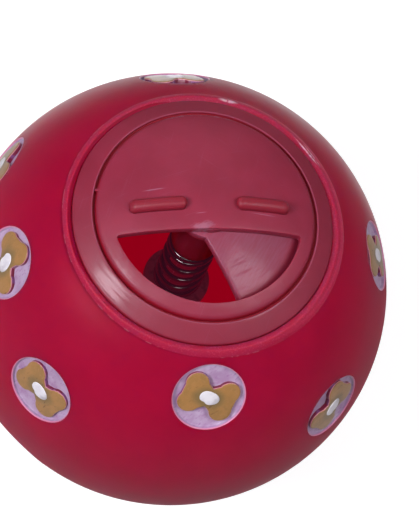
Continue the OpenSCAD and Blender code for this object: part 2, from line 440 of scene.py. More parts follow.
def make_collar():
    """Flange, neck and snap rib, with the domed shutter plate and the hub tube."""
    seat_z = dome(BALL_R, FLANGE_R) - FLANGE_EDGE
    rib_z = seat_z - RIM_H - RIB_GAP
    neck_z = rib_z - RIB_H
    top = bow(BALL_R, math.degrees(math.acos(FLANGE_R / BALL_R)),
              math.degrees(math.acos(RECESS_R / BALL_R)), 6)
    floor = bow(PLATE_TOP_R, math.degrees(math.acos(LEDGE_R / PLATE_TOP_R)),
                math.degrees(math.acos(NECK_IN_R / PLATE_TOP_R)), 3)
    ledge_z = dome(BALL_R, RECESS_R) - LEDGE_DROP
    ledge = [(RECESS_R, ledge_z), (LEDGE_R, ledge_z)]
    line = [(NECK_IN_R, neck_z), (NECK_IN_R + RIB_OUT, neck_z),
            (NECK_R + RIB_OUT, rib_z - RIB_OUT / 2), (NECK_R + RIB_OUT, rib_z),
            (NECK_R, rib_z), (NECK_R, seat_z), (FLANGE_R, seat_z)]
    line += top + ledge + floor
    corners = [(top[0], 0.0002), (top[-1], 0.00025), (ledge[0], 0.0001),
               ((NECK_IN_R + RIB_OUT, neck_z), 0.0002), ((NECK_R + RIB_OUT, rib_z), 0.0002),
               ((FLANGE_R, seat_z), 0.0002)]
    ring = turned("collar", line, corners)
    return join("collar", [ring, make_plate(), make_hub()])


def make_plate():
    """Domed shutter plate with its half-round opening, set into the neck."""
    edge = math.degrees(math.asin(PLATE_CHORD / WINDOW_R))
    hub_edge = math.degrees(math.asin(PLATE_CHORD / PLATE_HUB_R))
    rim_r = NECK_IN_R + SET_IN
    half = (bow(rim_r, 90, -90, 64) + bow(WINDOW_R, -90, -edge, 40)
            + bow(PLATE_HUB_R, -hub_edge, -90, 16) + bow(BORE_R, -90, 90, 24))
    plate = slab("plate", half, PLATE_T)
    inside_rim = rim_r - PLATE_ROUND
    outside_bore = 0.003
    round_edges(plate, lambda p: outside_bore < p.xy.length < inside_rim, PLATE_ROUND, 3)
    slice_up(plate, CELL, rim_r)
    drape(plate, PLATE_T, lambda reach: dome(PLATE_UNDER_R, reach),
          lambda reach: min(dome(PLATE_TOP_R, reach), PAD_Z))
    turn_round(plate, PLATE_TURN + math.pi / 2)
    return plate


def make_hub():
    """Tube that hangs from the middle of the plate."""
    top_z = PLATE_UNDER_R + SET_IN
    line = [(BORE_R, HUB_Z), (HUB_R, HUB_Z), (HUB_R, top_z), (BORE_R, top_z)]
    return turned("hub", line, [((BORE_R, HUB_Z), 0.0003), ((HUB_R, HUB_Z), 0.0003)], steps=96)


def make_dial():
    """Domed dial with its window, two finger bars, and the boss and stem below it."""
    edge = math.degrees(math.asin(WINDOW_CHORD / WINDOW_R))
    half = bow(DIAL_R, 90, -90, 96) + bow(WINDOW_R, -90, -edge, 48) + [(0, -WINDOW_CHORD)]
    dial = slab("dial", half, DIAL_T)
    corner = Vector((WINDOW_R * math.cos(math.radians(edge)), -WINDOW_CHORD))
    edit(dial)
    pick(dial, "EDGE", lambda e: abs(e.verts[0].co.z - e.verts[1].co.z) > DIAL_T / 2
         and (Vector((abs(e.verts[0].co.x), e.verts[0].co.y)) - corner).length < NEAR)
    bpy.ops.mesh.bevel(offset=WINDOW_CORNER, segments=5, affect="EDGES", clamp_overlap=False)
    put_down()
    round_edges(dial, lambda p: p.xy.length > DIAL_R - NEAR, DIAL_RIM_ROUND, 6)
    round_edges(dial, lambda p: p.xy.length < WINDOW_R + NEAR, WINDOW_ROUND, 3)
    for raised in (make_bar(1), make_bar(-1), make_nib()):
        combine(dial, raised, "UNION")
    slice_up(dial, CELL, DIAL_R)
    drape(dial, DIAL_T, lambda reach: dome(BALL_R - DIAL_T, reach), lambda reach: dome(BALL_R, reach))
    edit(dial)
    close_up()
    return join("domed_dial", [dial, make_stem()])


def make_bar(side):
    """One finger bar on the flat of the dial, rounded along its top."""
    end = GRIP_ROUND
    first, last = GRIP_START + end, GRIP_START + GRIP_LEN - end
    flat = GRIP_W / 2 - end
    outline = (bow(end, 270, 360, 6, (last, -flat)) + bow(end, 0, 90, 6, (last, flat))
               + bow(end, 90, 180, 6, (first, flat)) + bow(end, 180, 270, 6, (first, -flat)))
    outline = [(x * side, y) for x, y in outline]
    bar = pad("bar", outline, DIAL_T * 0.6, DIAL_T * 0.4 + GRIP_RISE)
    round_edges(bar, lambda p: p.z > DIAL_T, GRIP_ROUND, 8)
    return bar


def make_nib():
    """Stub of the moulding gate on the rim of the dial, short of the flange."""
    tip = bow(NIB_TIP_R, -90, 90, 6, (NIB_END_R, NIB_TIP_R - NIB_HALF_W))
    outline = [(NIB_FOOT_R, -NIB_HALF_W), (NIB_END_R, -NIB_HALF_W)] + tip
    outline += [(NIB_END_R, NIB_HALF_W), (NIB_FOOT_R, NIB_HALF_W)]
    nib = pad("nib", outline, DIAL_T * 0.62, DIAL_T * 0.3)
    turn_round(nib, NIB_TURN)
    return nib


def make_stem():
    """Boss and stem of the dial, with the hole for the screw."""
    boss_r = math.sqrt(PLATE_TOP_R ** 2 - PAD_Z ** 2) - BOSS_GAP
    top_z = BALL_R - DIAL_T / 2
    hole_r = SCREW_R + SCREW_GAP
    hole_z = WASHER_Z + SCREW_GRIP + HOLE_SPARE
    line = [(0, hole_z), (hole_r, hole_z), (hole_r, WASHER_Z), (STEM_R, WASHER_Z), (STEM_R, PAD_Z),
            (boss_r, PAD_Z), (boss_r, top_z), (0, top_z)]
    corners = [((STEM_R, WASHER_Z), 0.0002), ((boss_r, PAD_Z), 0.0002)]
    return turned("stem", line, corners, 72, closed=False)


def make_spring():
    """Steel spring with closed ends, between the washer and the hub tube."""
    bottom, top = SPRING_LOW + WIRE_R, SPRING_TOP - WIRE_R
    rise = END_PITCH * WIRE_R
    turns = 2 * END_TURNS + MID_TURNS
    low, high = bottom + rise * END_TURNS, top - rise * END_TURNS
    points = []
    for i in range(int(turns * KNOTS_PER_TURN) + 1):
        t = i / KNOTS_PER_TURN
        if t < END_TURNS:
            z = bottom + rise * t
        elif t < END_TURNS + MID_TURNS:
            z = low + (high - low) * (t - END_TURNS) / MID_TURNS
        else:
            z = top - rise * (turns - t)
        a = 2 * math.pi * t
        points.append((SPRING_R * math.cos(a), SPRING_R * math.sin(a), z))
    data = bpy.data.curves.new("spring", "CURVE")
    data.dimensions = "3D"
    path = data.splines.new("POLY")
    path.points.add(len(points) - 1)
    for knot, point in zip(path.points, points):
        knot.co = (*point, 1)
    data.bevel_depth = WIRE_R
    data.bevel_resolution = 4
    data.use_fill_caps = True
    wire = bpy.data.objects.new("wire", data)
    bpy.context.scene.collection.objects.link(wire)
    take(wire)
    bpy.ops.object.convert(target="MESH")
    wire = bpy.context.object
    wire.name = "coil_spring"
    edit(wire)
    close_up()
    return wire


def make_washer():
    """Round washer that the spring presses on."""
    low = WASHER_Z - WASHER_T
    hole = SCREW_R + SCREW_GAP
    line = [(hole, low), (WASHER_R, low), (WASHER_R, WASHER_Z), (hole, WASHER_Z)]
    corners = [(line[1], 0.0003), (line[2], 0.0003), (line[3], 0.0001)]
    return turned("washer", line, corners, steps=128)


def make_screw():
    """Pan-head screw with a cross recess."""
    head_z = WASHER_Z - WASHER_T
    low = head_z - SCREW_HEAD_H
    dome_r = (SCREW_HEAD_R ** 2 + SCREW_HEAD_H ** 2) / (2 * SCREW_HEAD_H)
    spread = math.degrees(math.asin(min(1, SCREW_HEAD_R / dome_r)))
    head = bow(dome_r, -90, -90 + spread, 10, (0, low + dome_r))
    top = head_z + WASHER_T + SCREW_GRIP
    line = head + [(SCREW_HEAD_R, head_z), (SCREW_R, head_z), (SCREW_R, top - SCREW_TIP), (0, top)]
    screw = turned("screw", line, [((SCREW_HEAD_R, head_z), 0.0001)], 64, closed=False)
    for angle in (0, 90):
        put_down()
        bpy.ops.mesh.primitive_cube_add(size=1, location=(0, 0, low))
        slot = bpy.context.object
        slot.scale = SLOT_SIZE
        slot.rotation_euler.z = math.radians(angle)
        bpy.ops.object.transform_apply()
        combine(screw, slot, "DIFFERENCE")
    return screw


def medal_places():
    """Places of all medallions; the lower half mirrors the upper one."""
    lip = math.degrees(math.asin(LIP_RING_R / BALL_R))
    half = math.degrees(math.asin(MEDAL_R / BALL_R))
    places = [(azimuth, lip + off + half, turn) for azimuth, off, turn in UPPER_MEDALS]
    places += [(azimuth, 180 - angle, -turn) for azimuth, angle, turn in places]
    return [
        Matrix.Rotation(math.radians(azimuth), 4, "Z")
        @ Matrix.Rotation(math.radians(angle), 4, "Y")
        @ Matrix.Rotation(math.radians(turn), 4, "Z")
        for azimuth, angle, turn in places
    ]


def spread_out(name, pattern):
    """Copies a medallion's pattern to every medallion of the ball and joins the copies."""
    copies = []
    for place in medal_places():
        take(pattern)
        bpy.ops.object.duplicate()
        copy = bpy.context.object
        copy.matrix_world = place
        bpy.ops.object.transform_apply()
        copies.append(copy)
    take(pattern)
    bpy.ops.object.delete()
    return join(name, copies)


def map_face(piece, level):
    """Maps a medallion's pattern: its face, with 0.5, 0.5 in the middle, and a level in millimetres."""
    face_map = piece.data.uv_layers.new(name="face")
    level_map = piece.data.uv_layers.new(name="level")
    for corner, face, height in zip(piece.data.loops, face_map.data, level_map.data):
        point = piece.data.vertices[corner.vertex_index].co
        face.uv = (0.5 + point.x / (2 * MEDAL_R), 0.5 + point.y / (2 * MEDAL_R))
        height.uv = (1000 * level(point), 0)


def below(radius, point):
    """How far a point lies below a sphere about the ball's centre."""
    return dome(radius, point.xy.length) - point.z


def make_medallions(ball):
    """Cuts the recesses into the ball and makes their coloured fields, bones and spots."""
    wall = MEDAL_R - MEDAL_DRAFT
    edge = (wall + MEDAL_EDGE_R, MEDAL_FLOOR + MEDAL_EDGE_RISE)
    flare, top = wall + CUTTER_FLARE, MEDAL_FLOOR + CUTTER_H
    line = [(0, MEDAL_FLOOR), (wall, MEDAL_FLOOR)] + bow(MEDAL_EDGE_R, 180, 108, 5, edge)
    line += [(flare, MEDAL_FLOOR + CUTTER_FLARE_RISE), (flare, top), (0, top)]
    cutter = turned("cutter", line, [((wall, MEDAL_FLOOR), 0.0002)], 96, closed=False)
    combine(ball, spread_out("cutters", cutter), "DIFFERENCE")

    low, floor = MEDAL_FLOOR + PAINT_GAP, MEDAL_FLOOR + PAINT_FLOOR
    outer, inner = wall - PAINT_GAP, wall - PAINT_WALL
    line = [(0, low), (outer, low)] + bow(PAINT_OUT_R, 180, 112, 6, edge)
    line += bow(PAINT_IN_R, 112, 180, 6, edge) + [(inner, floor), (0, floor)]
    corners = [((outer, low), 0.0002), ((inner, floor), 0.0002)]
    field = turned("field", line, corners, 96, closed=False)
    map_face(field, lambda p: p.z - MEDAL_FLOOR)
    fields = spread_out("medallion_fields", field)
    bones = spread_out("medallion_bones", make_bone())
    spots = spread_out("medallion_spots", make_spot())
    return fields, bones, spots


def make_bone():
    """Raised bone of a medallion, with a rounded top edge that follows the ball."""
    knob = BONE_KNOB_R
    dip = math.degrees(math.asin(BONE_W / 2 / knob))
    middle_x, middle_y = BONE_LEN / 2, BONE_W / 2
    half = [(0, middle_y)] + bow(knob, 180, -90 + dip, 20, (middle_x, middle_y))[2:]
    half += bow(knob, 90 - dip, -180, 20, (middle_x, -middle_y))[:-2] + [(0, -middle_y)]
    bone = slab("bone", half, BONE_H)
    round_edges(bone, lambda p: p.z > BONE_H / 2, BONE_ROUND, 3)
    slice_up(bone, FINE_CELL, 0.005)
    drape(bone, BONE_H, lambda reach: MEDAL_FLOOR + BONE_SEAT, lambda reach: dome(BONE_TOP_R, reach))
    map_face(bone, lambda p: below(BONE_TOP_R, p))
    return bone


def make_spot():
    """Light oval of thick paint on the bone, with a notch in its edge."""
    steps = 48
    notch_deep, notch_place, notch_wide = 0.22, 4.3, 0.32
    outline = []
    for i in range(steps):
        a = 2 * math.pi * i / steps
        notch = notch_deep * math.exp(-((a - notch_place) / notch_wide) ** 2)
        size = 1 - notch + 0.03 * math.sin(3 * a + 1)
        outline.append((SPOT_LEN / 2 * size * math.cos(a), SPOT_W / 2 * size * math.sin(a)))
    spot = pad("spot", outline, 0, SPOT_H)
    round_edges(spot, lambda p: p.z > SPOT_H / 2, SPOT_ROUND, 3)
    slice_up(spot, FINE_CELL, 0.002)
    move_points(spot, lambda p: Vector((p.x, p.y, dome(BONE_TOP_R, p.xy.length) - SPOT_SINK + p.z)))
    map_face(spot, lambda p: -below(BONE_TOP_R, p))
    return spot


ball = make_ball()
fields, bones, spots = make_medallions(ball)
collar = make_collar()
dial = make_dial()
spring = make_spring()
washer = make_washer()
screw = make_screw()
for piece in (ball, collar, dial, spring, washer, screw, fields, bones, spots):
    smooth(piece)


# Colours: where a finish varies, the two tones that it varies between
VINYL_RED = (0.39, 0.0035, 0.038), (0.42, 0.0042, 0.042)
VINYL_INSIDE = (0.4, 0.0004, 0.012)
VINYL_SHADE = (0.22, 0.0005, 0.024)
VINYL_PAINTED_GLOW = (0.18, 0.0, 0.008)
LIP_PINK = (0.44, 0.018, 0.074), (0.52, 0.045, 0.12)
LIP_PAINTED_LIGHT = (0.6, 0.036, 0.11), (0.7, 0.062, 0.16)
LIP_CREASE = (0.7, 0.3, 0.36)
LIP_PAINTED_GLINT = (0.86, 0.58, 0.68)
DIAL_RED = (0.3, 0.021, 0.054), (0.345, 0.026, 0.065)
DIAL_WEAR_AND_GLINT = (0.6, 0.36, 0.5)
BAR_LIT_AND_SHADED = (0.23, 0.004, 0.02), (0.3, 0.014, 0.036)
STEM_PAINTED_GLOW = (0.025, 0.002, 0.008)
# The collar's plastic is the dial's plastic about 8% darker: painted shade
COLLAR_SHADED_RED = (0.276, 0.018, 0.047), (0.318, 0.023, 0.057)
COLLAR_RUB_AND_SHEEN = (0.57, 0.36, 0.58)
GROOVE_PAINTED_SHADE = (0.3, 0.002, 0.016)
HUB_PAINTED_SHADE = (0.15, 0.004, 0.018)
PLATE_SHADE = (0.17, 0.004, 0.022)
STEEL_PAINTED_GLOW = (0.022, 0.0025, 0.008, 1)
LILAC = (0.46, 0.29, 0.48), (0.58, 0.45, 0.62)
LILAC_STREAK = (0.4, 0.17, 0.42)
LILAC_RIM = (0.74, 0.27, 0.44)
TAN = (0.44, 0.225, 0.068), (0.36, 0.195, 0.06)
TAN_FLECK = (0.46, 0.24, 0.09)
TAN_HALO = (0.2, 0.15, 0.06)
TAN_STREAK = (0.1, 0.04, 0.02)
BONE_EDGE = (0.72, 0.3, 0.36)
BONE_SIDE_SHADED = (0.2, 0.004, 0.035), (0.22, 0.06, 0.2)
WHITE = (0.9, 0.89, 0.92), (0.8, 0.78, 0.83)
WHITE_THIN = (0.5, 0.47, 0.5)
NO_GLOW = (0, 0, 0)

# Paint has a soft sheen
PAINT = {"Sheen_Weight": 0.5, "Sheen_Roughness": 0.4}

# Painted glints on the lip: half length and half width, azimuth, distance from the axis
LIP_GLINTS = [
    ((0.0021, 0.0005), 75, 0.0224),
    ((0.0040, 0.0002), 35, 0.0222),
    ((0.0030, 0.00018), 32, 0.0227),
]

# Scratches on the dial: half length and half width, turn, middle, strength
DIAL_SCRATCHES = [
    ((0.0022, 0.00014), 0.07, (-0.0089, 0.0028), 0.4),
    ((0.0012, 0.0001), 0.11, (-0.0018, -0.0016), 0.3),
    ((0.0026, 0.0001), -0.06, (0.0086, -0.0015), 0.35),
]

# Finishes


class Recipe:
    """Nodes of a finish or of an effect that finishes share, added and wired in order of work."""

    def __init__(self, tree):
        self.tree = tree

    def add(self, kind, inputs=None, **settings):
        node = self.tree.nodes.new("ShaderNode" + kind)
        for key, value in settings.items():
            setattr(node, key, value)
        for key, value in (inputs or {}).items():
            self.feed(node.inputs[key], value)
        return node

    def feed(self, socket, value):
        if isinstance(value, bpy.types.NodeSocket):
            self.tree.links.new(value, socket)
        else:
            socket.default_value = value

    def place(self):
        """Where a point lies on the piece, in metres."""
        return self.add("TexCoord").outputs["Object"]

    def math(self, operation, *values):
        return self.add("Math", dict(enumerate(values)), operation=operation).outputs[0]

    def product(self, value, *others):
        for other in others:
            value = self.math("MULTIPLY", value, other)
        return value

    def linear(self, value, slope, base):
        return self.math("MULTIPLY_ADD", value, slope, base)

    def parts(self, vector):
        return self.add("SeparateXYZ", {0: vector}).outputs

    def length(self, vector):
        return self.add("VectorMath", {0: vector}, operation="LENGTH").outputs["Value"]

    def step(self, value, low, high):
        """Rises softly from 0 to 1 between two values."""
        inputs = {"Value": value, "From Min": low, "From Max": high}
        return self.add("MapRange", inputs, interpolation_type="SMOOTHSTEP").outputs["Result"]

    def band(self, value, start, full, fade, end):
        """Rises softly from start to full, and falls again from fade to end."""
        return self.product(self.step(value, start, full), self.step(value, end, fade))

    def noise(self, place, scale, detail=2.0, rough=0.5):
        inputs = {"Vector": place, "Scale": scale, "Detail": detail, "Roughness": rough}
        return self.add("TexNoise", inputs).outputs["Fac"]

    def frame(self, place, size, turn=0.0, middle=(0, 0, 0)):
        """Measures a place from a middle, along turned axes, in units of a size."""
        inputs = {"Vector": place, "Location": middle, "Rotation": (0, 0, turn), "Scale": size}
        return self.add("Mapping", inputs, vector_type="TEXTURE").outputs["Vector"]

    def oval(self, place, size, turn=0.0, middle=(0, 0)):
        """Distance from the middle of an oval in the XY plane; 1 is the edge of the oval."""
        any_height = 1e6
        return self.length(self.frame(place, (*size, any_height), turn, (*middle, 0)))

    def mix(self, amount, first, second):
        node = self.add("Mix", {0: amount}, data_type="RGBA")
        for socket, value in ((node.inputs[6], first), (node.inputs[7], second)):
            if not isinstance(value, bpy.types.NodeSocket):
                value = (*value, 1)
            self.feed(socket, value)
        return node.outputs[2]

    def reach(self, place):
        """Distance from the axis of the dial."""
        flat = self.add("VectorMath", {0: place, 1: (1, 1, 0)}, operation="MULTIPLY").outputs[0]
        return self.length(flat)

    def facing(self, place, side, reach):
        """How squarely a place faces a side of the ball: 1 on that side, -1 opposite."""
        along = self.add("VectorMath", {0: place, 1: side}, operation="DOT_PRODUCT").outputs["Value"]
        return self.math("DIVIDE", along, reach)

    def chart(self, name):
        """One of the maps of a medallion's pattern that map_face lays."""
        return self.add("UVMap", uv_map=name).outputs["UV"]

    def use(self, effect, **inputs):
        node = self.tree.nodes.new("ShaderNodeGroup")
        node.node_tree = effect
        for key, value in inputs.items():
            self.feed(node.inputs[key], value)
        return node.outputs


class Finish(Recipe):
    """A material with one skin; constants are set on the skin's own sockets."""

    def __init__(self, name, **constants):
        self.material = bpy.data.materials.new(name)
        self.material.use_nodes = True
        super().__init__(self.material.node_tree)
        self.skin = self.tree.nodes["Principled BSDF"]
        for key, value in constants.items():
            self.set(key.replace("_", " "), value)

    def set(self, key, value):
        self.feed(self.skin.inputs[key], value)

    def emboss(self, height, depth):
        """Raises the surface by a height of 0 to 1 times a depth in metres."""
        bump = self.add("Bump", {"Height": height, "Distance": depth, "Strength": 1.0})
        self.set("Normal", bump.outputs["Normal"])


def new_effect(name, inputs, outputs):
    """An effect shared by finishes; gives its recipe, its inputs and the sockets of its outputs."""
    tree = bpy.data.node_groups.new(name, "ShaderNodeTree")
    for key, kind in inputs:
        tree.interface.new_socket(name=key, in_out="INPUT", socket_type=kind)
    for key in outputs:
        tree.interface.new_socket(name=key, in_out="OUTPUT", socket_type="NodeSocketFloat")
    start = tree.nodes.new("NodeGroupInput")
    end = tree.nodes.new("NodeGroupOutput")
    return tree, Recipe(tree), start.outputs, end.inputs


def make_scratches():
    """Sparse fine scratches in three directions, as a mask."""
    tree, recipe, given, result = new_effect(
        "scratches", [("Place", "NodeSocketVector"), ("Least", "NodeSocketFloat")], ["Mask"])
    most = recipe.math("ADD", given["Least"], 0.08)
    mask = 0.0
    for turn, shift in ((0.3, 0.0), (-0.7, 0.11), (1.2, 0.23)):
        line = recipe.frame(given["Place"], (0.007, 0.00016, 0.01), turn, (shift, shift, shift))
        scratch = recipe.step(recipe.noise(line, 1.0, 1.0), given["Least"], most)
        mask = recipe.math("MAXIMUM", mask, scratch)
    recipe.feed(result["Mask"], mask)
    return tree


def make_ring_marks():
    """Fine rubbed lines round the dial's axis, as a mask."""
    tree, recipe, given, result = new_effect("ring_marks", [("Place", "NodeSocketVector")], ["Mask"])
    parts = recipe.parts(given["Place"])
    angle = recipe.math("ARCTAN2", parts["Y"], parts["X"])
    reach = recipe.reach(given["Place"])
    inputs = {0: recipe.math("MULTIPLY", reach, 3600), 1: recipe.math("MULTIPLY", angle, 3.2)}
    line = recipe.add("CombineXYZ", inputs).outputs[0]
    recipe.feed(result["Mask"], recipe.step(recipe.noise(line, 1.0, 1.0), 0.5, 0.66))
    return tree


def make_grain():
    """Fine moulded grain, and broad soft changes of tone."""
    tree, recipe, given, result = new_effect(
        "moulded_grain", [("Place", "NodeSocketVector")], ["Height", "Tone"])
    recipe.feed(result["Height"], recipe.noise(given["Place"], 2600, 3.0, 0.6))
    recipe.feed(result["Tone"], recipe.noise(given["Place"], 140, 3.0))
    return tree


scratches = make_scratches()
ring_marks = make_ring_marks()
grain = make_grain()


def add_lip_glints(finish, place, above):
    """Painted glints: white streaks along the far side of the lip, as a mask."""
    fine = finish.step(finish.noise(place, 1500, 3.0), 0.3, 0.55)
    glints = 0.0
    for size, azimuth, reach in LIP_GLINTS:
        middle = bow(reach, azimuth, azimuth, 1)[0]
        glint = finish.step(finish.oval(place, size, math.radians(azimuth + 90), middle), 1.0, 0.3)
        glints = finish.math("MAXIMUM", glints, glint)
    return finish.product(glints, fine, above, 0.85)


def add_lip_face(finish, place, reach, foot, above):
    """Masks of the pale face of the lip, partly a painted sheen and starting further out on the side away
    from the light, with the fold on its far side, and of the painted shade beside it.
    """
    away = finish.step(finish.facing(place, LIP_SHADED_SIDE, reach), 0.45, 0.75)
    slope = finish.linear(away, -0.00082, reach)
    face = finish.product(finish.step(slope, 0.0212, 0.0214), finish.step(foot, 0.0234, 0.02325))
    far = finish.step(finish.facing(place, LIP_FAR, reach), 0.8, 0.93)
    fold = finish.product(finish.band(reach, 0.0220, 0.02212, 0.02235, 0.0225), far)
    beside = finish.product(finish.step(reach, 0.02335, 0.0230), finish.math("SUBTRACT", 1.0, face))
    shade = finish.product(beside, above, finish.step(reach, 0.0214, 0.0220), 0.6)
    return finish.product(finish.math("MAXIMUM", face, fold), above), shade


def make_vinyl():
    """Soft red vinyl that light passes into; the lip is duller and paler, its paleness partly its own and
    partly a painted sheen; the inside has a painted glow that stands in for light through the wall.
    """
    finish = Finish("vinyl", IOR=1.21, Subsurface_Weight=1.0, Subsurface_Scale=0.004,
                    Emission_Strength=1.0, Coat_Roughness=0.55)
    finish.set("Subsurface Radius", (1.0, 0.04, 0.08))
    place = finish.place()
    moulded = finish.use(grain, Place=place)
    reach = finish.reach(place)
    above = finish.step(finish.parts(place)["Z"], 0.0285, 0.0292)
    wide = finish.facing(place, LIP_WIDE, reach)
    foot = finish.math("ADD", reach, finish.linear(wide, -LIP_SWAY, LIP_IN))
    lip, shade = add_lip_face(finish, place, reach, foot, above)
    broken = finish.step(finish.noise(place, 330, 4.0, 0.7), 0.52, 0.62)
    crease = finish.product(finish.band(foot, 0.02324, 0.0233, 0.02336, 0.02342), above, broken)
    speck = finish.step(finish.noise(place, 3800, 2.0), 0.5, 0.75)
    inside = finish.step(finish.length(place), 0.0356, 0.0350)
    body = finish.mix(finish.step(moulded["Tone"], 0.35, 0.65), *VINYL_RED)
    body = finish.mix(inside, body, VINYL_INSIDE)
    # painted shade on the lip's inner slope
    body = finish.mix(shade, body, VINYL_SHADE)
    # pale pink face of the lip: partly its own paler colour, partly a painted sheen
    pale = finish.mix(speck, *LIP_PINK)
    # painted light on the outer half of the lip on its wide side, where that slope faces away from the
    # lamps
    paling = finish.product(finish.step(foot, 0.0224, 0.0228), finish.step(wide, 0.2, 0.8))
    pale = finish.mix(paling, pale, finish.mix(speck, *LIP_PAINTED_LIGHT))
    body = finish.mix(finish.product(lip, 0.85), body, pale)
    body = finish.mix(finish.product(crease, 0.3), body, LIP_CREASE)
    # painted glints along the far side of the lip
    finish.set("Base Color", finish.mix(add_lip_glints(finish, place, above), body, LIP_PAINTED_GLINT))
    dull = finish.linear(moulded["Tone"], 0.12, 0.3)
    finish.set("Roughness", finish.linear(lip, 0.12, dull))
    shine = finish.product(lip, finish.linear(speck, 0.3, 0.25))
    finish.set("Coat Weight", finish.product(shine, finish.step(foot, 0.0230, 0.0227)))
    # painted glow on the inside of the wall, standing in for light that passes through the vinyl
    finish.set("Emission Color", finish.mix(inside, NO_GLOW, VINYL_PAINTED_GLOW))
    finish.emboss(moulded["Height"], 0.00001)
    return finish.material


def add_dial_wear_and_glints(finish, place, reach):
    """Worn patch above the window, handling scratches and pale chips on the far rim, as a mask; the chips
    are partly chipped edge and partly painted glints.
    """
    smear = finish.noise(finish.frame(place, (0.0009, 0.0003, 0.001), 0.45), 1.0, 3.0)
    patch = finish.oval(place, (0.0026, 0.0011), 0.1, (-0.0016, -0.0038))
    patch = finish.step(finish.linear(smear, 1.1, patch), 1.4, 0.75)
    wear_and_highlights = finish.product(patch, 0.3)
    for size, turn, middle, strength in DIAL_SCRATCHES:
        mark = finish.step(finish.oval(place, size, turn, middle), 1.0, 0.3)
        wear_and_highlights = finish.math("MAXIMUM", wear_and_highlights, finish.product(mark, strength))
    # pale chips on the far rim: partly chipped edge, partly painted glints where the rim catches the light
    far = finish.step(finish.parts(place)["Y"], 0.0166, 0.0172)
    rim = finish.product(finish.step(reach, 0.0174, 0.0176), far)
    chips = finish.step(finish.noise(place, 900, 4.0, 0.7), 0.5, 0.6)
    return finish.math("MAXIMUM", wear_and_highlights, finish.product(rim, chips, 0.4))


def add_collar_haze_and_highlight(finish, place, reach, depth):
    """Haze that the dial's rubbing leaves on the plate, partly a painted sheen, and a painted highlight
    along the rounded inner edge of the flange, as a mask.
    """
    streaks = finish.noise(finish.frame(place, (0.0024, 0.00028, 0.001), 1.0), 1.0, 2.0)
    plate = finish.product(finish.step(reach, 0.0152, 0.0136), finish.step(depth, 0.0348, 0.0352))
    # haze on the plate: rubbed marks, brightened as a painted sheen
    haze = finish.product(plate, finish.linear(streaks, 0.15, 0.02))
    # painted highlight along the rounded inner edge of the flange
    edge = finish.band(reach, 0.01836, 0.01845, 0.01855, 0.0187)
    edge = finish.product(edge, finish.step(depth, 0.0370, 0.0372))
    return finish.math("MAXIMUM", haze, finish.product(edge, 0.1))


def make_insert(name, handled):
    """Semi-gloss plastic with grain, scratches and rubbed lines; the dial shows handling marks. The collar
    is the same plastic painted a little darker as shade, painted shade darkens the grooves, the plate and
    the parts under it, and the stem below the plate has a painted glow.
    """
    finish = Finish(name, IOR=1.46, Subsurface_Weight=0.4, Subsurface_Scale=0.0012,
                    Coat_Roughness=0.17)
    finish.set("Subsurface Radius", (1.0, 0.1, 0.15))
    red, paling = (DIAL_RED, DIAL_WEAR_AND_GLINT) if handled else (COLLAR_SHADED_RED, COLLAR_RUB_AND_SHEEN)
    shine_on_rings, shine = (-0.07, 0.1) if handled else (-0.24, 0.26)
    place = finish.place()
    depth = finish.length(place)
    moulded = finish.use(grain, Place=place)
    lines = finish.use(scratches, Place=place, Least=0.71)["Mask"]
    rings = finish.use(ring_marks, Place=place)["Mask"]
    colour = finish.mix(finish.step(moulded["Tone"], 0.3, 0.7), *red)
    reach = finish.reach(place)
    # painted dark red shade in the grooves beside the dial and at the flange's outer edge
    groove = finish.math("MAXIMUM", finish.step(reach, 0.0186, 0.0184), finish.step(reach, 0.0211, 0.0213))
    groove = finish.product(groove, finish.step(reach, 0.0172, 0.0176), finish.step(depth, 0.0374, 0.0372))
    colour = finish.mix(groove, colour, GROOVE_PAINTED_SHADE)
    under = finish.step(depth, 0.0342, 0.0335)
    if handled:
        # finger bars: painted light along the ridge and painted shade down the sides
        bars = finish.mix(finish.step(depth, 0.0378, 0.0385), *BAR_LIT_AND_SHADED)
        colour = finish.mix(finish.step(depth, 0.0376, 0.0378), colour, bars)
        wear_and_highlights = add_dial_wear_and_glints(finish, place, reach)
        # painted glow on the stem below the plate, standing in for red light inside the ball
        finish.set("Emission Color", finish.mix(under, NO_GLOW, STEM_PAINTED_GLOW))
        finish.set("Emission Strength", 1.0)
    else:
        # painted shade on the hub tube and the other collar parts deep inside the ball
        colour = finish.mix(under, colour, HUB_PAINTED_SHADE)
        shaded = finish.linear(finish.step(reach, 0.0140, 0.0155), 0.55, 0.15)
        shaded = finish.product(shaded, finish.step(depth, 0.0363, 0.0360))
        colour = finish.mix(shaded, colour, PLATE_SHADE)
        wear_and_highlights = add_collar_haze_and_highlight(finish, place, reach, depth)
    wear_and_highlights = finish.math("MAXIMUM", wear_and_highlights, finish.product(lines, 0.07))
    finish.set("Base Color", finish.mix(wear_and_highlights, colour, paling))
    rough = finish.linear(moulded["Tone"], 0.1, 0.45)
    rough = finish.linear(lines, 0.1, rough)
    finish.set("Roughness", finish.linear(rings, 0.06, rough))
    coat = finish.linear(rings, shine_on_rings, shine)
    finish.set("Coat Weight", finish.product(coat, finish.math("SUBTRACT", 1.0, groove)))
    marks = finish.linear(rings, -0.35, moulded["Height"])
    finish.emboss(finish.linear(lines, -0.6, marks), 0.000005)
    return finish.material


def make_steel(name, colour, rough, metal=1.0):
    """Drawn or stamped steel with fine marks and duller spots, with a faint painted glow that stands in
    for red light from the wall.
    """
    finish = Finish(name, Metallic=metal, Emission_Strength=1.0)
    finish.set("Emission Color", STEEL_PAINTED_GLOW)
    place = finish.place()
    moulded = finish.use(grain, Place=place)
    spots = finish.step(finish.noise(place, 700, 3.0), 0.45, 0.7)
    dulled = tuple(c * 0.55 for c in colour)
    finish.set("Base Color", finish.mix(spots, colour, dulled))
    finish.set("Roughness", finish.linear(spots, 0.15, rough))
    finish.emboss(moulded["Height"], 0.000004)
    return finish.material


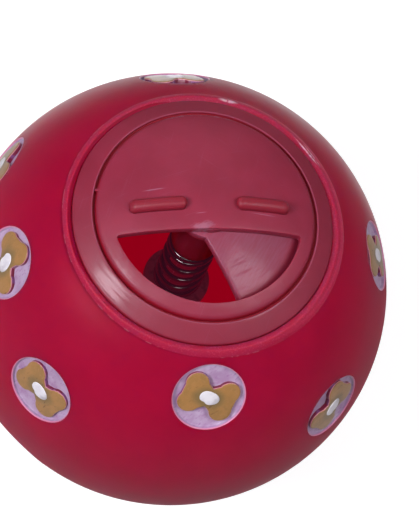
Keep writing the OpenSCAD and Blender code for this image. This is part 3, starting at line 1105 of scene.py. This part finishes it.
def make_lilac():
    """Sprayed paint of the recess, which thins to a pale pink line on the rim."""
    finish = Finish("lilac_paint", **PAINT)
    level = finish.parts(finish.chart("level"))["X"]
    place = finish.place()
    cloud = finish.noise(place, 650, 3.0)
    brushed = finish.noise(finish.frame(place, (0.0012, 0.0003, 0.0006), 0.6), 1.0, 2.0)
    streaks = finish.product(finish.step(brushed, 0.56, 0.72), 0.7)
    paint = finish.mix(finish.step(cloud, 0.3, 0.7), *LILAC)
    paint = finish.mix(streaks, paint, LILAC_STREAK)
    rim = finish.step(finish.linear(cloud, 0.14, level), 0.56, 0.64)
    finish.set("Base Color", finish.mix(rim, paint, LILAC_RIM))
    finish.set("Roughness", finish.linear(cloud, 0.2, 0.32))
    finish.emboss(finish.noise(place, 5000, 2.0), 0.000008)
    return finish.material


def make_tan():
    """Tan paint of the bone's face; the edge is pale pink and the side bare vinyl with overspray, painted
    darker than the ball's vinyl as shade.
    """
    finish = Finish("tan_paint", **PAINT)
    face = finish.chart("face")
    level = finish.parts(finish.chart("level"))["X"]
    place = finish.place()
    cloud = finish.noise(place, 500, 3.0)
    fine = finish.noise(place, 2400, 3.0)
    streak = finish.noise(finish.frame(place, (0.0022, 0.0004, 0.001), 0.5), 1.0, 2.0)
    paint = finish.mix(finish.step(cloud, 0.35, 0.65), *TAN)
    paint = finish.mix(finish.step(fine, 0.5, 0.8), paint, TAN_FLECK)
    spot = (SPOT_LEN / 4 / MEDAL_R, SPOT_W / 4 / MEDAL_R)
    halo = finish.step(finish.oval(face, spot, 0.0, (0.5, 0.5)), 2.0, 1.0)
    paint = finish.mix(finish.product(halo, 0.75), paint, TAN_HALO)
    paint = finish.mix(finish.product(finish.step(streak, 0.62, 0.78), 0.65), paint, TAN_STREAK)
    # sides of the bone: bare vinyl with lilac overspray, painted darker as shade
    bare = finish.mix(finish.step(cloud, 0.5, 0.6), *BONE_SIDE_SHADED)
    ragged = finish.linear(finish.math("SUBTRACT", fine, 0.5), 0.16, level)
    side = finish.mix(finish.step(ragged, 0.2, 0.28), BONE_EDGE, bare)
    finish.set("Base Color", finish.mix(finish.step(ragged, 0.07, 0.12), paint, side))
    finish.set("Roughness", finish.linear(cloud, 0.2, 0.28))
    finish.emboss(streak, 0.00003)
    return finish.material


def make_white():
    """Dab of white paint, thick at one end and thin over the tan at the other."""
    finish = Finish("white_paint", **PAINT)
    place = finish.place()
    cloud = finish.noise(place, 900, 3.0)
    along = finish.parts(finish.chart("face"))["X"]
    thin = finish.step(finish.linear(cloud, 0.12, along), 0.58, 0.74)
    paint = finish.mix(finish.step(cloud, 0.4, 0.7), *WHITE)
    finish.set("Base Color", finish.mix(thin, paint, WHITE_THIN))
    finish.set("Roughness", finish.linear(cloud, 0.2, 0.25))
    finish.emboss(cloud, 0.00003)
    return finish.material


vinyl = make_vinyl()
insert = make_insert("insert_plastic", False)
handled_insert = make_insert("handled_insert_plastic", True)
steel = make_steel("spring_steel", (0.11, 0.095, 0.095), 0.1)
dark_steel = make_steel("washer_steel", (0.2, 0.035, 0.07), 0.5, 0.0)
lilac = make_lilac()
tan = make_tan()
white = make_white()

for piece, finish, slot, body, node in (
    (ball, vinyl, "vinyl", "ball", "ball_shell"),
    (collar, insert, "insert_plastic", "ball", "insert_collar"),
    (dial, handled_insert, "insert_plastic", "dial", "dial"),
    (spring, steel, "spring_steel", "ball", "spring"),
    (washer, dark_steel, "spring_steel", "spring_seat", "spring_washer"),
    (screw, steel, "spring_steel", "dial", "stem_screw"),
    (fields, lilac, "lilac_paint", "ball", "medallion_field"),
    (bones, tan, "tan_paint", "ball", "medallion_bone"),
    (spots, white, "white_paint", "ball", "medallion_spot"),
):
    piece.data.materials.clear()
    piece.data.materials.append(finish)
    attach(piece, body)
    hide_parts(node)
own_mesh(spring)

# Floor, light and world
FLOOR_SIZE = 6
FLOOR_TONE = (0.4, 0.4, 0.4, 1)
FLOOR_GLOW = 0.82
SKY_LIGHT = 0.07
PLAIN_WHITE = (1, 1, 1, 1)

# Lamps: name, direction, distance, size, radiance, tint
LAMPS = [
    ("left_box", (-0.65, -0.24, 0.721), 0.6, 0.18, 25, (0.96, 0.92, 1.0)),
    ("right_box", (0.46, -0.24, 0.83), 0.6, 0.26, 6.6, (1.0, 0.94, 1.0)),
    ("front_box", (-0.25, -0.3, 0.92), 0.6, 0.13, 5, (1.0, 0.97, 1.0)),
    ("back_box", (0.1, 0.8, 0.6), 0.8, 0.6, 0.5, (1.0, 0.97, 0.98)),
]


def make_floor():
    """Pale floor, white to the camera; the gloss of the ball mirrors a bright patch behind it."""
    put_down()
    bpy.ops.mesh.primitive_plane_add(size=FLOOR_SIZE, location=(0, 0, -BALL_R))
    floor = bpy.context.object
    floor.name = "floor"
    finish = Finish("floor", Roughness=0.9, Specular_IOR_Level=0.0)
    finish.set("Base Color", FLOOR_TONE)
    rays = finish.add("LightPath").outputs
    parts = finish.parts(finish.place())
    aside = finish.math("ABSOLUTE", finish.math("SUBTRACT", parts["X"], 0.02))
    aside = finish.step(aside, 0.09, 0.04)
    behind = finish.band(parts["Y"], 0.02, 0.04, 0.09, 0.15)
    mirrored = finish.math("MAXIMUM", rays["Is Glossy Ray"], rays["Is Transmission Ray"])
    mirrored = finish.product(mirrored, behind, aside, 1.2)
    seen = finish.math("MAXIMUM", rays["Is Camera Ray"], mirrored)
    finish.set("Emission Color", PLAIN_WHITE)
    finish.set("Emission Strength", finish.product(seen, FLOOR_GLOW))
    floor.data.materials.append(finish.material)


def add_panel(name, toward, distance, size, radiance, tint):
    """Hangs a square lamp in a direction from the ball, facing it."""
    data = bpy.data.lights.new(name, "AREA")
    data.shape = "SQUARE"
    data.size = size
    data.energy = radiance * math.pi * size * size
    data.color = tint
    lamp = bpy.data.objects.new(name, data)
    lamp.location = Vector(toward).normalized() * distance
    lamp.rotation_euler = Vector(toward).to_track_quat("Z", "Y").to_euler()
    bpy.context.scene.collection.objects.link(lamp)


def set_light():
    """Hangs the lamps in a dim sky that is white to the camera."""
    scene = bpy.context.scene
    scene.view_settings.view_transform = "Standard"
    world = bpy.data.worlds.new("world")
    scene.world = world
    world.use_nodes = True
    sky = world.node_tree.nodes["Background"]
    sky.inputs["Color"].default_value = PLAIN_WHITE
    air = Recipe(world.node_tree)
    seen = air.add("LightPath").outputs["Is Camera Ray"]
    air.feed(sky.inputs["Strength"], air.math("MAXIMUM", seen, SKY_LIGHT))
    for lamp in LAMPS:
        add_panel(*lamp)


make_floor()
set_light()
